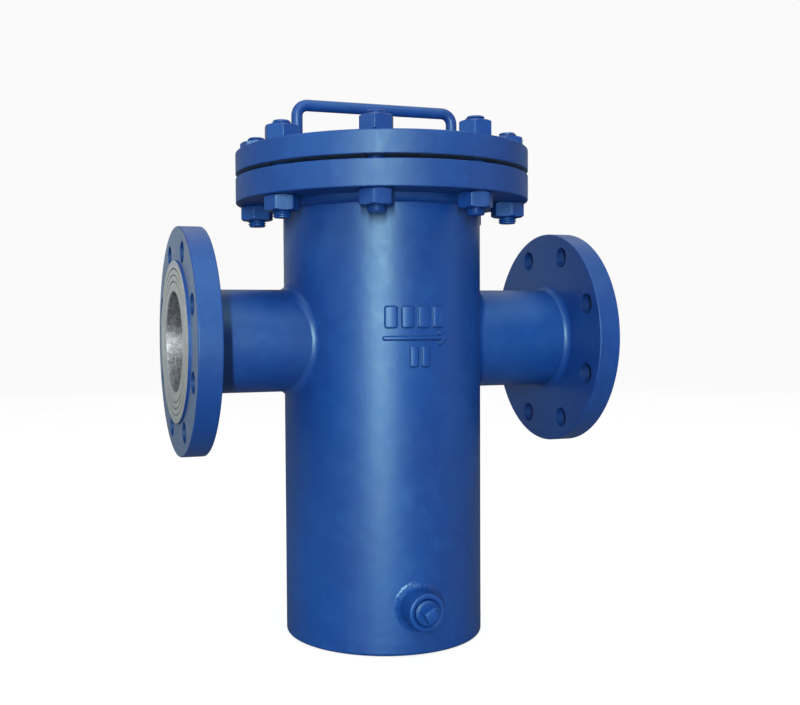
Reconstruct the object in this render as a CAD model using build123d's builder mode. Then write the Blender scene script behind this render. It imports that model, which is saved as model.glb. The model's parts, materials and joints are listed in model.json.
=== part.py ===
from build123d import *
from math import cos, pi, radians, sin, tan
import os

# Basket strainer: a flanged steel vessel with a bolted cover, a lift-out basket and a drain plug.
# Millimetres, +Z up. The origin is on the vessel's axis, at the underside of its flat bottom.
# The nozzles lie along X, with the inlet at -X. The drain and the raised marks face -Y.

# ---------------------------------------------------------------- driving dimensions

# Vessel
shell_od = 176.0
shell_wall = 8.0
shell_top = 397.0
bottom_thickness = 12.0
bottom_corner = 3.0
seam_bevel = 5.0

# Pipe nozzles and their slip-on flanges
face_to_face = 376.0
nozzle_z = 262.0
pipe_od = 89.0
pipe_wall = 4.0
pipe_setback = 8.0
pipe_flange_od = 195.0
pipe_flange_rim = 20.0
pipe_face_od = 138.0
pipe_face_height = 2.5
pipe_pcd = 160.0
groove_radii = (62.0, 56.5, 51.0)
groove_width = 1.0
groove_depth = 0.8
mouth_diameter = 85.0
flange_fit = 0.5
flange_weld_leg = 5.0
saddle_weld_leg = 7.0

# Body flange, gasket and cover
cover_od = 260.0
cover_thickness = 19.0
body_flange_thickness = 22.0
body_flange_z = 383.0
cover_face_od = 202.0
cover_face_height = 1.0
gasket_thickness = 1.5
gasket_id = 180.0
body_weld_leg = 8.0
rim_chamfer = 0.8

# Bolting: M16 studs and heavy nuts
bolt_count = 8
bolt_hole = 18.0
cover_pcd = 225.0
stud_diameter = 16.0
stud_length = 80.0
stud_reach_below = 5.6
stud_chamfer = 1.5
nut_across_flats = 26.0
nut_height = 13.0
nut_bore = 16.4
lower_nut_turns = (12, 47, 5, 33, 22.7, 30.5, 21.6, 50)
upper_nut_turns = (41, 18, 56, 9, 52.2, 34.5, 34.1, 27)

# Cover handle: one bent round bar, a little off centre
handle_bar = 10.0
handle_left = -78.0
handle_right = 69.0
handle_rise = 39.9
handle_bend = 9.5
handle_weld_leg = 3.5

# Inclined basket seat
seat_tilt = 31.5
seat_thickness = 6.0
seat_hole_radius = 66.0

# Basket
basket_gap = 0.3
basket_radius = 63.0
basket_wall = 1.5
basket_floor_z = 62.0
basket_floor_thickness = 2.0
rim_radius = 76.0
rim_thickness = 5.0
band_thickness = 1.8
band_width = 11.0
mid_band_z = 140.0
hole_radius = 5.0
holes_per_ring = 22
ring_pitch = 16.0
first_ring_z = 82.0
rim_margin = 9.0
liner_radius = 61.2
liner_wall = 0.8
basket_bar = 8.0
basket_handle_z = 385.0
basket_handle_bend = 16.0

# Drain: half coupling with a tapered 1/2 pipe thread, and its plug
drain_x = -3.0
drain_z = 41.5
boss_od = 31.5
boss_face_y = -110.0
boss_weld_leg = 6.0
thread_radius = 10.5
thread_taper = 1 / 32
tape_clearance = 0.05
tape_thickness = 0.2
plug_depth = 13.0
plug_thread_shown = 2.8
plug_head_length = 8.0
plug_square = 11.0
plug_turn = 28.0

# Raised marks on the shell
mark_height = 1.8
arrow_z = 264.4
arrow_tail = -29.5
arrow_tip = 25.8
arrow_stroke = 3.2
arrow_barb = 6.6
arrow_barb_rise = 4.2
upper_pads = (-24.3, -10.2, 3.8, 17.8)
lower_pads = (-5.0, 5.4)
pad_width = 10.5
lower_pad_width = 7.5
upper_pad_z = 281.8
lower_pad_z = 249.5
pad_tall = 18.0
pad_corner = 2.5

# ---------------------------------------------------------------- derived sizes

shell_radius = shell_od / 2
shell_inner = shell_radius - shell_wall
pipe_radius = pipe_od / 2
pipe_inner = pipe_radius - pipe_wall
flange_bore = pipe_radius + flange_fit
cover_radius = cover_od / 2
body_flange_top = body_flange_z + body_flange_thickness
body_bore = shell_radius + flange_fit
face_z = body_flange_top + cover_face_height
cover_face_z = face_z + gasket_thickness
cover_z = cover_face_z + cover_face_height
cover_top = cover_z + cover_thickness
stud_base = body_flange_z - nut_height - stud_reach_below
handle_bar_z = cover_top + handle_rise
tall = 2 * cover_top
seat_plane = Plane((0, 0, nozzle_z), z_dir=(-sin(radians(seat_tilt)), 0, cos(radians(seat_tilt))))
rim_top_plane = seat_plane.offset(basket_gap + rim_thickness)
drain_face = Plane((drain_x, boss_face_y, drain_z), x_dir=(1, 0, 0), z_dir=(0, -1, 0))
upright = (Align.CENTER, Align.CENTER, Align.MIN)


def save(piece, name):
    """Label a finished piece and write it to its own STEP file."""
    piece.part.label = name
    export_step(piece.part, f"parts/{name}.step")


def face_plane(side):
    """Plane of a nozzle's sealing face, its normal pointing away from the vessel."""
    return Plane((side * face_to_face / 2, 0, nozzle_z), x_dir=(0, 1, 0), z_dir=(side, 0, 0))


def ring(outer, inner):
    """Annulus in the current sketch."""
    Circle(outer)
    Circle(inner, mode=Mode.SUBTRACT)


# ---------------------------------------------------------------- vessel


def make_shell():
    """Body tube with its lower weld bevel, two nozzle holes and the drain hole."""
    with BuildPart() as shell_tube:
        with BuildSketch(Plane.XY.offset(bottom_thickness)):
            ring(shell_radius, shell_inner)
        extrude(amount=shell_top - bottom_thickness)
        chamfer(shell_tube.edges().group_by(Axis.Z)[0].sort_by(SortBy.LENGTH)[-1], seam_bevel)
        with BuildSketch(Plane.YZ.offset(-shell_od)):
            with Locations((0, nozzle_z)):
                Circle(flange_bore)
        extrude(amount=2 * shell_od, mode=Mode.SUBTRACT)
        with BuildSketch(drain_face):
            Circle(boss_od / 2 + flange_fit)
        extrude(amount=boss_face_y, mode=Mode.SUBTRACT)
    save(shell_tube, "shell_tube")


def make_bottom():
    """Flat bottom plate, bevelled for the seam weld, and the weld ground flush."""
    with BuildPart() as bottom_plate:
        with BuildSketch():
            Circle(shell_radius)
        extrude(amount=bottom_thickness)
        chamfer(bottom_plate.edges().group_by(Axis.Z)[-1], seam_bevel)
        fillet(bottom_plate.edges().group_by(Axis.Z)[0], bottom_corner)
    save(bottom_plate, "bottom_plate")

    with BuildPart() as bottom_weld:
        with BuildSketch(Plane.XZ):
            with BuildLine():
                Polyline(
                    (shell_radius, bottom_thickness - seam_bevel),
                    (shell_radius, bottom_thickness + seam_bevel),
                    (shell_radius - seam_bevel, bottom_thickness),
                    close=True,
                )
            make_face()
        revolve(axis=Axis.Z)
    save(bottom_weld, "bottom_weld")


def make_body_flange():
    """Slip-on flange at the top of the tube, with fillet welds below and inside."""
    with BuildPart() as body_flange:
        with BuildSketch(Plane.XY.offset(body_flange_z)):
            Circle(cover_radius)
        extrude(amount=body_flange_thickness)
        chamfer(body_flange.edges().filter_by(GeomType.CIRCLE), rim_chamfer)
        with BuildSketch(Plane.XY.offset(body_flange_top)):
            Circle(cover_face_od / 2)
        extrude(amount=cover_face_height)
        with Locations((0, 0, body_flange_top)):
            Hole(body_bore)
            with PolarLocations(cover_pcd / 2, bolt_count, 180 / bolt_count):
                Hole(bolt_hole / 2)
    save(body_flange, "body_flange")

    with BuildPart() as body_flange_weld:
        with BuildSketch(Plane.XZ):
            with BuildLine():
                Polyline(
                    (shell_radius, body_flange_z),
                    (shell_radius + body_weld_leg, body_flange_z),
                    (shell_radius, body_flange_z - body_weld_leg),
                    close=True,
                )
            make_face()
        revolve(axis=Axis.Z)
    save(body_flange_weld, "body_flange_weld")

    with BuildPart() as body_flange_inner_weld:
        with BuildSketch(Plane.XZ):
            with BuildLine():
                Polyline(
                    (shell_inner, shell_top),
                    (body_bore, shell_top),
                    (body_bore, body_flange_top),
                    close=True,
                )
            make_face()
        revolve(axis=Axis.Z)
    save(body_flange_inner_weld, "body_flange_inner_weld")


def make_nozzle(side, name):
    """Pipe stub, its slip-on flange and the three welds that hold them."""
    face = face_plane(side)
    rim_face = face.offset(-pipe_face_height)
    pipe_end = face.offset(-pipe_setback)

    with BuildPart() as pipe:
        with BuildSketch(pipe_end):
            ring(pipe_radius, pipe_inner)
        extrude(amount=-(face_to_face / 2 - pipe_setback))
        Cylinder(shell_inner, tall, align=upright, mode=Mode.SUBTRACT)
    save(pipe, f"{name}_nozzle")

    with BuildPart() as flange:
        with BuildSketch(rim_face):
            Circle(pipe_flange_od / 2)
        extrude(amount=-pipe_flange_rim)
        chamfer(flange.edges().filter_by(GeomType.CIRCLE), rim_chamfer)
        with BuildSketch(rim_face):
            Circle(pipe_face_od / 2)
        extrude(amount=pipe_face_height)
        with BuildSketch(face):
            for radius in groove_radii:
                ring(radius + groove_width / 2, radius - groove_width / 2)
        extrude(amount=-groove_depth, mode=Mode.SUBTRACT)
        with Locations(face):
            Hole(flange_bore)
            with PolarLocations(pipe_pcd / 2, bolt_count, 180 / bolt_count):
                Hole(bolt_hole / 2)
    save(flange, f"{name}_flange")

    with BuildPart() as bore_weld:
        with BuildSketch(face):
            ring(flange_bore, mouth_diameter / 2)
        extrude(amount=-pipe_setback)
    save(bore_weld, f"{name}_bore_weld")

    back = side * (face_to_face / 2 - pipe_face_height - pipe_flange_rim)
    with BuildPart() as flange_weld:
        with BuildSketch(Plane.XZ):
            with BuildLine():
                Polyline(
                    (back, nozzle_z + pipe_radius),
                    (back, nozzle_z + pipe_radius + flange_weld_leg),
                    (back - side * flange_weld_leg, nozzle_z + pipe_radius),
                    close=True,
                )
            make_face()
        revolve(axis=Axis((0, 0, nozzle_z), (1, 0, 0)))
    save(flange_weld, f"{name}_flange_weld")

    with BuildPart() as saddle_weld:
        Cylinder(shell_radius, tall, align=upright)
        with BuildSketch(pipe_end):
            Circle(pipe_radius)
        extrude(amount=-(face_to_face / 2 - pipe_setback))
        corner = [e for e in saddle_weld.edges() if e.geom_type not in (GeomType.CIRCLE, GeomType.LINE)]
        chamfer(corner, saddle_weld_leg)
        Cylinder(shell_radius, tall, align=upright, mode=Mode.SUBTRACT)
        with BuildSketch(pipe_end):
            Circle(pipe_radius)
        extrude(amount=-(face_to_face / 2 - pipe_setback), mode=Mode.SUBTRACT)
    save(saddle_weld, f"{name}_saddle_weld")


def make_seat():
    """Inclined plate between the inlet and outlet, with the hole that the basket hangs in."""
    with BuildPart() as seat_plate:
        with BuildSketch(seat_plane):
            Circle(shell_od)
        extrude(amount=-seat_thickness)
        Cylinder(shell_inner, tall, align=upright, mode=Mode.INTERSECT)
        Cylinder(seat_hole_radius, tall, align=upright, mode=Mode.SUBTRACT)
    save(seat_plate, "seat_plate")


def make_gasket():
    """Flat ring between the two raised faces."""
    with BuildPart() as cover_gasket:
        with BuildSketch(Plane.XY.offset(face_z)):
            ring(cover_face_od / 2, gasket_id / 2)
        extrude(amount=gasket_thickness)
    save(cover_gasket, "cover_gasket")


def make_bolting():
    """Studs through both flanges, with a nut at each end of every stud."""
    with BuildPart() as stud_bolts:
        with Locations((0, 0, stud_base)):
            with PolarLocations(cover_pcd / 2, bolt_count, 180 / bolt_count):
                Cylinder(stud_diameter / 2, stud_length, align=upright)
        chamfer(stud_bolts.edges().filter_by(GeomType.CIRCLE), stud_chamfer)
    save(stud_bolts, "stud_bolts")

    for name, base, turns in (
        ("lower_nuts", body_flange_z - nut_height, lower_nut_turns),
        ("upper_nuts", cover_top, upper_nut_turns),
    ):
        with BuildPart() as nuts:
            for place, turn in enumerate(turns):
                angle = 2 * pi * (place + 0.5) / bolt_count
                centre = (cover_pcd / 2 * cos(angle), cover_pcd / 2 * sin(angle), base)
                with BuildSketch(Plane(centre)):
                    RegularPolygon(nut_across_flats / 2, 6, major_radius=False, rotation=turn - 30)
                    Circle(nut_bore / 2, mode=Mode.SUBTRACT)
                extrude(amount=nut_height)
        save(nuts, name)


# ---------------------------------------------------------------- cover


def make_cover():
    """Blind flange with a raised face below, its bent handle and the handle's welds."""
    with BuildPart() as cover_plate:
        with BuildSketch(Plane.XY.offset(cover_z)):
            Circle(cover_radius)
        extrude(amount=cover_thickness)
        chamfer(cover_plate.edges().filter_by(GeomType.CIRCLE), rim_chamfer)
        with BuildSketch(Plane.XY.offset(cover_z)):
            Circle(cover_face_od / 2)
        extrude(amount=-cover_face_height)
        with Locations((0, 0, cover_top)):
            with PolarLocations(cover_pcd / 2, bolt_count, 180 / bolt_count):
                Hole(bolt_hole / 2)
    save(cover_plate, "cover_plate")

    with BuildPart() as cover_handle:
        with BuildLine():
            FilletPolyline(
                (handle_left, 0, cover_top),
                (handle_left, 0, handle_bar_z),
                (handle_right, 0, handle_bar_z),
                (handle_right, 0, cover_top),
                radius=handle_bend,
            )
        with BuildSketch(Plane((handle_left, 0, cover_top))):
            Circle(handle_bar / 2)
        sweep()
    save(cover_handle, "cover_handle")

    with BuildPart() as handle_welds:
        for leg in (handle_left, handle_right):
            with BuildSketch(Plane.XZ):
                with BuildLine():
                    Polyline(
                        (leg + handle_bar / 2, cover_top),
                        (leg + handle_bar / 2 + handle_weld_leg, cover_top),
                        (leg + handle_bar / 2, cover_top + handle_weld_leg),
                        close=True,
                    )
                make_face()
            revolve(axis=Axis((leg, 0, 0), (0, 0, 1)))
    save(handle_welds, "handle_welds")


# ---------------------------------------------------------------- basket


def shell_perforations():
    """Planes of the basket's wall holes, staggered in rings, as far up as the slanted rim allows."""
    places = []
    for ring_number in range(holes_per_ring):
        z = first_ring_z + ring_number * ring_pitch
        if mid_band_z - hole_radius < z < mid_band_z + band_width + hole_radius:
            continue
        for hole in range(holes_per_ring):
            angle = 2 * pi * (hole + ring_number % 2 / 2) / holes_per_ring
            rim_z = nozzle_z + basket_radius * cos(angle) * tan(radians(seat_tilt))
            if z < rim_z - hole_radius - rim_margin:
                outward = Vector(cos(angle), sin(angle), 0)
                places.append(Plane(outward * basket_radius + Vector(0, 0, z), z_dir=outward))
    return places


def make_basket():
    """Perforated basket cut off along the slanted seat, its rim, bands, floor, liner and handle."""
    with BuildPart() as basket_shell:
        with BuildSketch(Plane.XY.offset(basket_floor_z)):
            ring(basket_radius, basket_radius - basket_wall)
        extrude(amount=tall)
        split(bisect_by=rim_top_plane, keep=Keep.BOTTOM)
        with Locations(*shell_perforations()):
            Cylinder(hole_radius, 4 * basket_wall, mode=Mode.SUBTRACT)
    save(basket_shell, "basket_shell")

    with BuildPart() as basket_bottom:
        with BuildSketch(Plane.XY.offset(basket_floor_z - basket_floor_thickness)):
            Circle(basket_radius)
            Circle(hole_radius, mode=Mode.SUBTRACT)
            for circle in (1, 2, 3):
                with PolarLocations(circle * ring_pitch, 6 * circle):
                    Circle(hole_radius, mode=Mode.SUBTRACT)
        extrude(amount=basket_floor_thickness)
    save(basket_bottom, "basket_bottom")

    with BuildPart() as basket_rim:
        with BuildSketch(seat_plane.offset(basket_gap)):
            Circle(shell_od)
        extrude(amount=rim_thickness)
        Cylinder(rim_radius, tall, align=upright, mode=Mode.INTERSECT)
        Cylinder(basket_radius, tall, align=upright, mode=Mode.SUBTRACT)
    save(basket_rim, "basket_rim")

    for name, base in (
        ("basket_band", mid_band_z),
        ("basket_foot_band", basket_floor_z - basket_floor_thickness),
    ):
        with BuildPart() as band:
            with BuildSketch(Plane.XY.offset(base)):
                ring(basket_radius + band_thickness, basket_radius)
            extrude(amount=band_width)
        save(band, name)

    with BuildPart() as mesh_liner:
        with BuildSketch(Plane.XY.offset(basket_floor_z)):
            Circle(liner_radius)
        extrude(amount=tall)
        with BuildSketch(Plane.XY.offset(basket_floor_z + liner_wall)):
            Circle(liner_radius - liner_wall)
        extrude(amount=tall, mode=Mode.SUBTRACT)
        split(bisect_by=rim_top_plane, keep=Keep.BOTTOM)
    save(mesh_liner, "mesh_liner")

    leg = (rim_radius + basket_radius) / 2
    with BuildPart() as basket_handle:
        with BuildLine():
            FilletPolyline(
                (0, -leg, nozzle_z),
                (0, -leg, basket_handle_z),
                (0, leg, basket_handle_z),
                (0, leg, nozzle_z),
                radius=basket_handle_bend,
            )
        with BuildSketch(Plane((0, -leg, nozzle_z))):
            Circle(basket_bar / 2)
        sweep()
        split(bisect_by=rim_top_plane, keep=Keep.TOP)
    save(basket_handle, "basket_handle")


# ---------------------------------------------------------------- drain


def taper_sleeve(wide_radius, depth, start=0.0):
    """Cone of the pipe thread's taper, sunk into the boss from its face."""
    with Locations(drain_face.offset(-start)):
        Cone(
            wide_radius - (start + depth) * thread_taper,
            wide_radius - start * thread_taper,
            depth,
            align=(Align.CENTER, Align.CENTER, Align.MAX),
        )


def make_drain():
    """Half coupling set into the shell, its weld, the square-headed plug and the seal tape."""
    boss_depth = -boss_face_y
    with BuildPart() as bore:
        taper_sleeve(thread_radius, boss_depth)

    with BuildPart() as drain_boss:
        with BuildSketch(drain_face):
            Circle(boss_od / 2)
        extrude(amount=-boss_depth)
        chamfer(drain_boss.faces().sort_by(Axis.Y)[0].edges(), rim_chamfer)
        Cylinder(shell_inner, tall, align=upright, mode=Mode.SUBTRACT)
        add(bore.part, mode=Mode.SUBTRACT)
    save(drain_boss, "drain_boss")

    with BuildPart() as drain_boss_weld:
        Cylinder(shell_radius, 2 * drain_z, align=upright)
        with BuildSketch(drain_face):
            Circle(boss_od / 2)
        extrude(amount=-boss_depth)
        corner = [
            e for e in drain_boss_weld.edges() if e.geom_type not in (GeomType.CIRCLE, GeomType.LINE)
        ]
        chamfer(corner, boss_weld_leg)
        Cylinder(shell_radius, 2 * drain_z, align=upright, mode=Mode.SUBTRACT)
        with BuildSketch(drain_face):
            Circle(boss_od / 2)
        extrude(amount=-boss_depth, mode=Mode.SUBTRACT)
    save(drain_boss_weld, "drain_boss_weld")

    plug_radius = thread_radius - tape_thickness - 2 * tape_clearance
    with BuildPart() as drain_plug:
        taper_sleeve(plug_radius, plug_depth)
        with BuildSketch(drain_face):
            Circle(plug_radius)
        extrude(amount=plug_thread_shown)
        with BuildSketch(drain_face.offset(plug_thread_shown)):
            Rectangle(plug_square, plug_square, rotation=plug_turn)
        extrude(amount=plug_head_length)
        chamfer(drain_plug.faces().sort_by(Axis.Y)[0].edges(), rim_chamfer)
    save(drain_plug, "drain_plug")

    with BuildPart() as tape_core:
        taper_sleeve(plug_radius + tape_clearance, boss_depth)
    with BuildPart() as thread_seal_tape:
        taper_sleeve(thread_radius - tape_clearance, plug_depth - rim_chamfer, start=rim_chamfer)
        add(tape_core.part, mode=Mode.SUBTRACT)
    save(thread_seal_tape, "thread_seal_tape")


# ---------------------------------------------------------------- raised marks


def arc_x(arc):
    """X of a point on the shell's front, an arc length away from its middle line."""
    return shell_radius * sin(arc / shell_radius)


def wrap_on_shell(height):
    """Trim a piece that stands through the shell's front to a raised layer on it."""
    Cylinder(shell_radius + height, tall, align=upright, mode=Mode.INTERSECT)
    Cylinder(shell_radius, tall, align=upright, mode=Mode.SUBTRACT)


def make_marks():
    """Flow arrow from inlet to outlet, and blank pads above and below it."""
    front = Plane((0, -shell_radius / 2, 0), x_dir=(1, 0, 0), z_dir=(0, -1, 0))
    tip = (arc_x(arrow_tip), arrow_z)
    with BuildPart() as flow_arrow:
        with BuildSketch(front):
            with BuildLine():
                Line((arc_x(arrow_tail), arrow_z), tip)
            trace(line_width=arrow_stroke)
            for rise in (arrow_barb_rise, -arrow_barb_rise):
                with BuildLine():
                    Line((arc_x(arrow_tip - arrow_barb), arrow_z + rise), tip)
                trace(line_width=arrow_stroke)
        extrude(amount=shell_radius)
        wrap_on_shell(mark_height)
    save(flow_arrow, "flow_arrow")

    with BuildPart() as size_marks:
        with BuildSketch(front):
            for pads, z, width in (
                (upper_pads, upper_pad_z, pad_width),
                (lower_pads, lower_pad_z, lower_pad_width),
            ):
                with Locations(*[(arc_x(arc), z) for arc in pads]):
                    RectangleRounded(width, pad_tall, pad_corner)
        extrude(amount=shell_radius)
        wrap_on_shell(mark_height)
    save(size_marks, "size_marks")


os.makedirs("parts", exist_ok=True)
make_shell()
make_bottom()
make_body_flange()
make_nozzle(-1, "inlet")
make_nozzle(1, "outlet")
make_seat()
make_gasket()
make_bolting()
make_cover()
make_basket()
make_drain()
make_marks()
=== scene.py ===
import json
from math import acos, ceil, cos, hypot, pi, radians, sin, sqrt, tan

import bmesh
import bpy
from mathutils import Matrix, Vector, noise


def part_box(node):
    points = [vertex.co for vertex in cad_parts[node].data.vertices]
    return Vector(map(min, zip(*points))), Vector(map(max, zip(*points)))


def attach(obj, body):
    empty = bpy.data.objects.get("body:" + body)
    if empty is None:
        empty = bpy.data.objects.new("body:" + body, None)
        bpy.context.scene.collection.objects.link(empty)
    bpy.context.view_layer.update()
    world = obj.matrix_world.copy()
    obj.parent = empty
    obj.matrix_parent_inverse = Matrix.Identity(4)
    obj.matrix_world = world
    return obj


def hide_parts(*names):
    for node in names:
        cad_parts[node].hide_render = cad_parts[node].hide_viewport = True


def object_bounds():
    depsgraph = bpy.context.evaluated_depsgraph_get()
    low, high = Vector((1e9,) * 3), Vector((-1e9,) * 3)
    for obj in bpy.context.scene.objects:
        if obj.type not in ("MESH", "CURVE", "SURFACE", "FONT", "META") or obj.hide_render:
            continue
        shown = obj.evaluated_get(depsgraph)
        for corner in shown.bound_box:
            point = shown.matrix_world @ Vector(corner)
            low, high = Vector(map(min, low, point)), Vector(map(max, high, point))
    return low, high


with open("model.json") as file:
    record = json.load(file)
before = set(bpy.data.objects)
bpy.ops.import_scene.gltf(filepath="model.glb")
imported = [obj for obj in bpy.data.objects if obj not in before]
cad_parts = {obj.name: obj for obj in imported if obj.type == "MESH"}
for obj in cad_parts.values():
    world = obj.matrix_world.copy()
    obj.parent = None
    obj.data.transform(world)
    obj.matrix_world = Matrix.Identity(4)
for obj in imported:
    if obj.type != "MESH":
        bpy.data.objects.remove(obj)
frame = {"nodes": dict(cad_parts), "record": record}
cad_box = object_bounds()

# Looks of a basket strainer: a painted steel vessel with two flanged nozzles, a bolted cover with a
# handle, a lift-out basket and a drain plug. Metres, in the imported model's own frame: the vessel's axis
# is Z, the inlet is at -X, the outlet at +X, and the drain and the raised marks face -Y.

MM = 0.001
TAU = 2 * pi
UP = Vector((0, 0, 1))
UNMOVED = Matrix.Identity(4)

# ---- sizes, from the frame where it has them

mounts = {mount["name"]: mount for mount in frame["record"]["mounts"]}
shell_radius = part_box("shell_tube")[1].x
shell_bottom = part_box("shell_tube")[0].z
shell_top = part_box("shell_tube")[1].z
shell_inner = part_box("seat_plate")[1].x
pipe_wall = 4 * MM
pipe_radius = (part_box("inlet_nozzle")[1].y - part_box("inlet_nozzle")[0].y) / 2
pipe_inner = pipe_radius - pipe_wall
pipe_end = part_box("outlet_nozzle")[1].x
nozzle_z = mounts["inlet_bore"]["pos_m"][2]
mouth_radius = mounts["inlet_bore"]["dims"]["r_mm"] * MM
flange_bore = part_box("inlet_bore_weld")[1].y
face_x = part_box("outlet_flange")[1].x
rim_x = mounts["outlet_bolts"]["pos_m"][0]
pipe_flange_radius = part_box("outlet_flange")[1].y
pipe_flange_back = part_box("outlet_flange")[0].x
pipe_face_radius = 69 * MM
bolt_hole_radius = mounts["inlet_bolts"]["dims"]["hole_r_mm"] * MM
pipe_bolt_circle = mounts["inlet_bolts"]["dims"]["pcd_mm"] * MM / 2
body_flange_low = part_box("body_flange")[0].z
face_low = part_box("cover_gasket")[0].z
face_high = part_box("cover_gasket")[1].z
raised_face = 1.0 * MM
cover_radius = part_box("cover_plate")[1].x
cover_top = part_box("cover_plate")[1].z
cover_face_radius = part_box("cover_gasket")[1].x
gasket_bore = 90 * MM
stud_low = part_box("stud_bolts")[0].z
stud_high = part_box("stud_bolts")[1].z
stud_radius = 8 * MM
stud_circle = 112.5 * MM
bolt_count = 8
nut_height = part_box("upper_nuts")[1].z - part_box("upper_nuts")[0].z
nut_apothem = 13 * MM
nut_bore = 8.2 * MM
handle_low, handle_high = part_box("cover_handle")
drain_low, drain_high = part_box("drain_boss")
drain_centre = Vector(((drain_low.x + drain_high.x) / 2, drain_low.y, (drain_low.z + drain_high.z) / 2))
boss_radius = (drain_high.x - drain_low.x) / 2
seat_tilt = radians(31.5)
basket_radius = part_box("basket_bottom")[1].x
basket_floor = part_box("basket_bottom")[1].z
sheet_thickness = 1.2 * MM
rim_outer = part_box("basket_rim")[1].x
rim_gap = 0.3 * MM
rim_thickness = 5 * MM
liner_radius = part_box("mesh_liner")[1].x


# ---- shader helpers


class Look:
    """A node tree being filled in, with its shader and the coordinates of whatever it is laid on."""

    def __init__(self, tree, shader_name):
        self.tree = tree
        self.shader = tree.nodes[shader_name]
        self.coords = self.node("ShaderNodeTexCoord").outputs["Object"]

    def feed(self, made, inputs):
        """Sets or links a node's inputs, given as (socket, value or output) pairs."""
        for key, value in inputs:
            if isinstance(value, bpy.types.NodeSocket):
                self.tree.links.new(value, made.inputs[key])
            else:
                made.inputs[key].default_value = value

    def node(self, kind, inputs=(), **settings):
        """Adds a node with these settings and inputs."""
        made = self.tree.nodes.new(kind)
        for key, value in settings.items():
            setattr(made, key, value)
        self.feed(made, inputs)
        return made

    def shade(self, **values):
        """Sets or links the shader's sockets by name, each space written as an underscore."""
        self.feed(self.shader, [(key.replace("_", " "), value) for key, value in values.items()])

    def place(self):
        """The coordinates as separate X, Y and Z outputs."""
        return self.node("ShaderNodeSeparateXYZ", [(0, self.coords)]).outputs

    def noise(self, scale, detail=3.0, rough=0.55, distortion=0.0, coords=None):
        """Noise over the piece, or over other coordinates; a scale of three values stretches it."""
        coords = coords or self.coords
        if isinstance(scale, tuple):
            coords = self.node("ShaderNodeMapping", [(0, coords), ("Scale", scale)]).outputs[0]
            scale = 1.0
        inputs = [("Vector", coords), ("Scale", scale), ("Detail", detail), ("Roughness", rough)]
        return self.node("ShaderNodeTexNoise", inputs + [("Distortion", distortion)]).outputs[0]

    def math(self, operation, *values):
        """Works one value out of others, each a number or an output."""
        return self.node("ShaderNodeMath", enumerate(values), operation=operation).outputs[0]

    def spread(self, *values):
        """Maps a value from one range to another, held inside it: value, low, high, to low, to high."""
        return self.node("ShaderNodeMapRange", enumerate(values)).outputs[0]

    def mix(self, share, a, b):
        """Colour a, changing to b as share goes from 0 to 1."""
        return self.node("ShaderNodeMix", [(0, share), (6, a), (7, b)], data_type="RGBA").outputs[2]

    def layered(self, base, *layers):
        """Colour under layers of (value, low, high, share, colour).

        A layer is absent where its value is low, and takes up to its share where its value is high."""
        for value, low, high, share, colour in layers:
            base = self.mix(self.spread(value, low, high, 0, share), base, colour)
        return base

    def bump(self, *layers):
        """Chains bump layers of (height, strength, distance) into the shader's normal."""
        normal = None
        for height, strength, distance in layers:
            inputs = [("Strength", strength), ("Distance", distance), ("Height", height)]
            if normal is not None:
                inputs.append(("Normal", normal))
            normal = self.node("ShaderNodeBump", inputs).outputs[0]
        self.shade(Normal=normal)


def new_look(name):
    """A new node material, and the look to fill in."""
    material = bpy.data.materials.new(name)
    material.use_nodes = True
    return material, Look(material.node_tree, "Principled BSDF")


# ---- materials

DEEP_BLUE = (0.0025, 0.044, 0.236, 1)
VIOLET_BLUE = (0.006, 0.037, 0.200, 1)
CHALK_BLUE = (0.012, 0.080, 0.31, 1)
# Grey of grit and dust, also laid on faces as a painted sheen
DUST_AND_SHEEN_GREY = (0.21, 0.26, 0.31, 1)
# Dark navy laid on as painted shade in the bolt holes and at the feet of the raised marks
PAINTED_SHADE_NAVY = (0.001, 0.008, 0.04, 1)


def blue_paint(name, dust_and_sheen=0.0, painted_shade=0.0, roughness=0.41):
    """Semi-gloss enamel: clouded royal blue, orange peel, grit and chalky patches; where asked, a grey film
    of dust and painted sheen, and dark navy painted shade.
    """
    material, look = new_look(name)
    clouds = look.noise((11, 11, 5), 2)
    blotches = look.noise(48, 4, 0.6, 0.6)
    smudges = look.noise(120, 3, 0.6, 0.3)
    grit = look.noise(1400, 2)
    peel = look.noise(230, 2, 0.5)
    waves = look.noise(62, 2, 0.5)
    base = look.layered(
        DEEP_BLUE,
        (clouds, 0.38, 0.62, 1, VIOLET_BLUE),
        (blotches, 0.48, 0.74, 0.26, CHALK_BLUE),
        (smudges, 0.56, 0.74, 0.26, CHALK_BLUE),
        (grit, 0.66, 0.8, 0.12 + dust_and_sheen, DUST_AND_SHEEN_GREY),
    )
    # The grey film is dust and painted sheen; the dark navy is painted shade
    for share, thinnest, colour in ((dust_and_sheen, 0.75, DUST_AND_SHEEN_GREY), (painted_shade, 0.7, PAINTED_SHADE_NAVY)):
        if share:
            base = look.mix(look.spread(smudges, 0.3, 0.7, thinnest * share, share), base, colour)
    look.shade(Base_Color=base, Roughness=look.spread(blotches, 0.3, 0.7, roughness, roughness + 0.09))
    look.shade(Specular_IOR_Level=0.68, Specular_Tint=(0.60, 1.0, 1.0, 1))
    look.bump((waves, 0.10, 0.002), (peel, 0.10, 0.0007), (grit, 0.05, 0.0003))
    return material


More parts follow.
